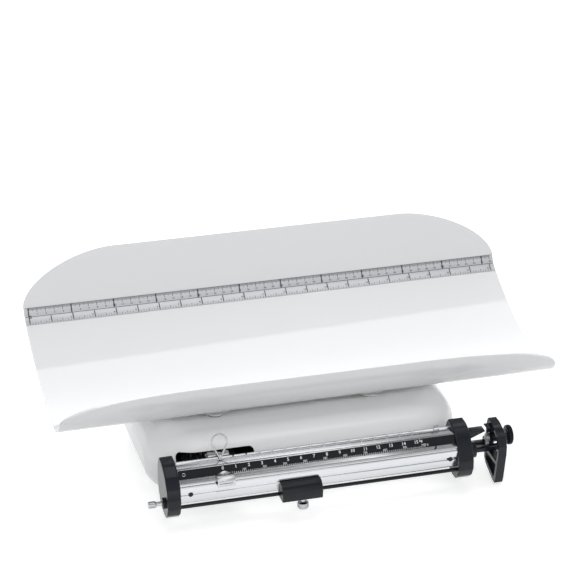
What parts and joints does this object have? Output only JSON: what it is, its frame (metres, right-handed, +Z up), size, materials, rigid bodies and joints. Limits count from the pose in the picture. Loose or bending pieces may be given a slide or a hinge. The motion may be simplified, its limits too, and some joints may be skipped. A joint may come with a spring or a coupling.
{
  "type": "mechanical baby scale",
  "caption": "Mechanical baby scale: a long white trough on a lever base, read on a notched beam with sliding poises, a tare sleeve and a lock.",
  "frame": {"origin": "middle of the bounding box on the surface that the feet stand on", "axes": "+X to the right along the beam and the tray, +Y from the beam to the tray's back wall, +Z up"},
  "size_m": [0.57, 0.3356, 0.2035],
  "materials": {
    "tray_white": "glossy moulded white",
    "housing_white": "glossy moulded white",
    "ruler_film": "printed grey film",
    "aluminium": "bright extruded, anodised",
    "chrome": "bright chrome plate",
    "black_plastic": "semi-gloss moulded black",
    "black_enamel": "semi-gloss black enamel",
    "steel": "ground steel",
    "cast_iron": "painted casting",
    "zinc_plate": "zinc plated sheet",
    "rubber": "matt rubber"
  },
  "bodies": {
    "base": {"housing": "housing_white", "base_plate": "zinc_plate", "foot_front_left": "rubber", "foot_front_right": "rubber", "foot_back_left": "rubber", "foot_back_right": "rubber", "main_stand_front": "cast_iron", "main_stand_back": "cast_iron", "short_stand_front": "cast_iron", "short_stand_back": "cast_iron", "beam_stand": "cast_iron", "guide_frame": "black_plastic", "guide_arm": "black_enamel"},
    "platform": {"platform_frame": "cast_iron", "load_bearing_front_left": "steel", "load_bearing_front_right": "steel", "load_bearing_back_left": "steel", "load_bearing_back_right": "steel", "tray_post_front_left": "steel", "tray_post_front_right": "steel", "tray_post_back_left": "steel", "tray_post_back_right": "steel", "tray_cradle_left": "zinc_plate", "tray_cradle_right": "zinc_plate", "tray": "tray_white", "ruler_strip": "ruler_film"},
    "beam": {"beam_extrusion": "aluminium", "scale_strip": "black_enamel", "end_cap_left": "black_plastic", "end_cap_right": "black_plastic", "slide_rod": "black_enamel", "beam_tongue": "black_plastic", "beam_tip_bar": "black_plastic", "beam_yoke": "cast_iron", "beam_fulcrum_knife": "steel", "beam_load_knife": "steel", "rail_stop": "aluminium", "fine_stop_pin": "black_enamel"},
    "main_lever": {"main_lever": "cast_iron", "main_fulcrum_knife": "steel", "main_load_knife": "steel", "main_centre_knife": "steel", "main_nose_knife": "steel"},
    "short_lever": {"short_lever": "cast_iron", "short_fulcrum_knife": "steel", "short_load_knife": "steel", "short_nose_knife": "steel"},
    "centre_link": {"centre_link": "zinc_plate"},
    "beam_link": {"beam_link": "zinc_plate"},
    "lock": {"lock_spindle": "steel", "lock_finger": "zinc_plate", "lock_knob": "black_plastic"},
    "main_poise": {"main_poise": "chrome"},
    "poise_ring": {"poise_ring": "chrome"},
    "fine_poise": {"fine_poise": "chrome"},
    "tare_weight": {"tare_weight": "black_enamel"},
    "tare_thumbscrew": {"tare_thumbscrew": "chrome"},
    "zero_knob": {"zero_knob": "chrome"}
  },
  "joints": [
    {"name": "beam_tilt", "type": "hinge", "parent": "base", "child": "beam", "pos_m": [-0.097, -0.0656, 0.034], "axis": [0, 1, 0], "range_deg": [-1.6, 1.6], "stiffness_Nm_per_rad": 20, "springref_deg": -0.64},
    {"name": "beam_link_lift", "type": "slide", "parent": "base", "child": "beam_link", "axis": [0, 0, 1], "range_m": [-0.00099, 0.00099]},
    {"name": "main_lever_tilt", "type": "hinge", "parent": "base", "child": "main_lever", "pos_m": [0.114, 0.00644, 0.02], "axis": [0, 1, 0], "range_deg": [-0.23, 0.23]},
    {"name": "centre_link_lift", "type": "slide", "parent": "base", "child": "centre_link", "axis": [0, 0, 1], "range_m": [-0.00051, 0.00051]},
    {"name": "short_lever_tilt", "type": "hinge", "parent": "base", "child": "short_lever", "pos_m": [-0.14, 0.00644, 0.01], "axis": [0, 1, 0], "range_deg": [-0.23, 0.23]},
    {"name": "platform_lift", "type": "slide", "parent": "base", "child": "platform", "axis": [0, 0, 1], "range_m": [-0.000088, 0.000088]},
    {"name": "lock_turn", "type": "hinge", "parent": "base", "child": "lock", "pos_m": [0.198, -0.12156, 0.0492], "axis": [-1, 0, 0], "range_deg": [0, 38]},
    {"name": "main_poise_slide", "type": "slide", "parent": "beam", "child": "main_poise", "axis": [1, 0, 0], "range_m": [0, 0.2196]},
    {"name": "ring_lift", "type": "hinge", "parent": "main_poise", "child": "poise_ring", "pos_m": [-0.1183, -0.12346, 0.0751], "axis": [-1, 0, 0], "range_deg": [0, 25]},
    {"name": "fine_poise_slide", "type": "slide", "parent": "beam", "child": "fine_poise", "axis": [1, 0, 0], "range_m": [0, 0.2275]},
    {"name": "tare_weight_slide", "type": "slide", "parent": "beam", "child": "tare_weight", "axis": [1, 0, 0], "range_m": [-0.109, 0.157]},
    {"name": "tare_thumbscrew_turn", "type": "hinge", "parent": "tare_weight", "child": "tare_thumbscrew", "pos_m": [-0.031, -0.15136, 0.018], "axis": [0, 0, 1], "range_deg": [0, 360]},
    {"name": "zero_knob_turn", "type": "hinge", "parent": "beam", "child": "zero_knob", "pos_m": [-0.19, -0.14206, 0.0335], "axis": [1, 0, 0], "range_deg": [-720, 720]}
  ],
  "couplings": [
    {"joint": "beam_link_lift", "follows": "beam_tilt", "m_per_rad": 0.035},
    {"joint": "main_lever_tilt", "follows": "beam_tilt", "ratio": 0.14228},
    {"joint": "centre_link_lift", "follows": "beam_tilt", "m_per_rad": 0.018069},
    {"joint": "short_lever_tilt", "follows": "beam_tilt", "ratio": -0.14228},
    {"joint": "platform_lift", "follows": "beam_tilt", "m_per_rad": 0.0031301}
  ]
}
